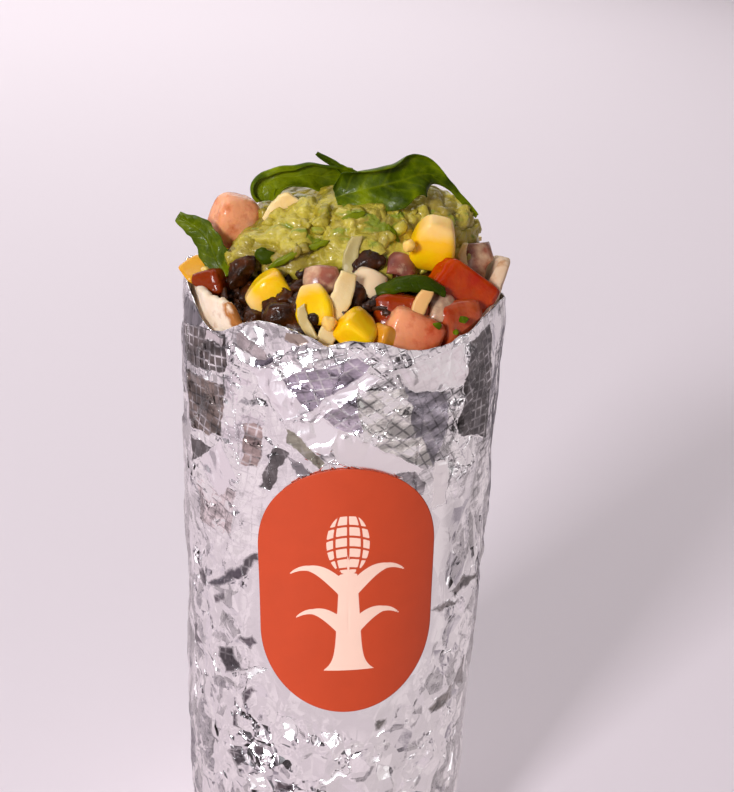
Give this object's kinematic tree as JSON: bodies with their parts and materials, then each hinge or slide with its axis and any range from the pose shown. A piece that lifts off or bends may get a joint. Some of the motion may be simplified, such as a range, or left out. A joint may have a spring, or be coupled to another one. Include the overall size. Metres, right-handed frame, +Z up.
{
  "type": "burrito",
  "caption": "Foil-wrapped burrito standing on its folded end, with a paper label, open at the top and heaped with beans, corn, tomato, onion, cheese, guacamole and leaves.",
  "frame": {"origin": "centre of the flat end that the roll stands on", "axes": "+Z up along the roll towards its open end, -Y out through the label's side, +X to the right of someone who faces the label"},
  "size_m": [0.0779, 0.076, 0.181],
  "materials": {
    "foil": "crumpled, bright, embossed with a fine grid near the rim",
    "tortilla": "soft, floury, with toasted spots",
    "label": "satin print",
    "beans": "wet, dark",
    "guacamole": "wet, chunky",
    "corn": "glossy, a little translucent",
    "tomato": "wet, translucent",
    "onion": "wet, translucent, purple edges",
    "cheese": "satin",
    "leaf": "glossy, veined"
  },
  "bodies": {
    "root": {"foil_wrap": "foil", "tortilla": "tortilla", "label": "label", "filling": "beans", "guacamole": "guacamole", "bean_01": "beans", "bean_02": "beans", "bean_03": "beans", "cheese_01": "cheese", "cheese_02": "cheese", "cheese_03": "cheese", "cheese_04": "cheese", "cheese_05": "cheese", "cheese_06": "cheese", "cheese_07": "cheese", "cheese_08": "cheese", "cheese_09": "cheese", "cheese_10": "cheese", "cheese_11": "cheese", "corn_01": "corn", "corn_02": "corn", "corn_03": "corn", "corn_04": "corn", "corn_05": "corn", "corn_06": "corn", "corn_07": "corn", "corn_08": "corn", "corn_09": "corn", "corn_10": "corn", "corn_11": "corn", "leaf_01": "leaf", "leaf_02": "leaf", "leaf_03": "leaf", "leaf_04": "leaf", "leaf_05": "leaf", "onion_01": "onion", "onion_02": "onion", "onion_03": "onion", "onion_04": "onion", "onion_05": "onion", "onion_06": "onion", "onion_07": "onion", "tomato_01": "tomato", "tomato_02": "tomato", "tomato_03": "tomato", "tomato_04": "tomato", "tomato_05": "tomato", "tomato_06": "tomato", "tomato_07": "tomato", "tomato_08": "tomato", "tomato_09": "tomato", "tomato_10": "tomato"}
  },
  "joints": []
}
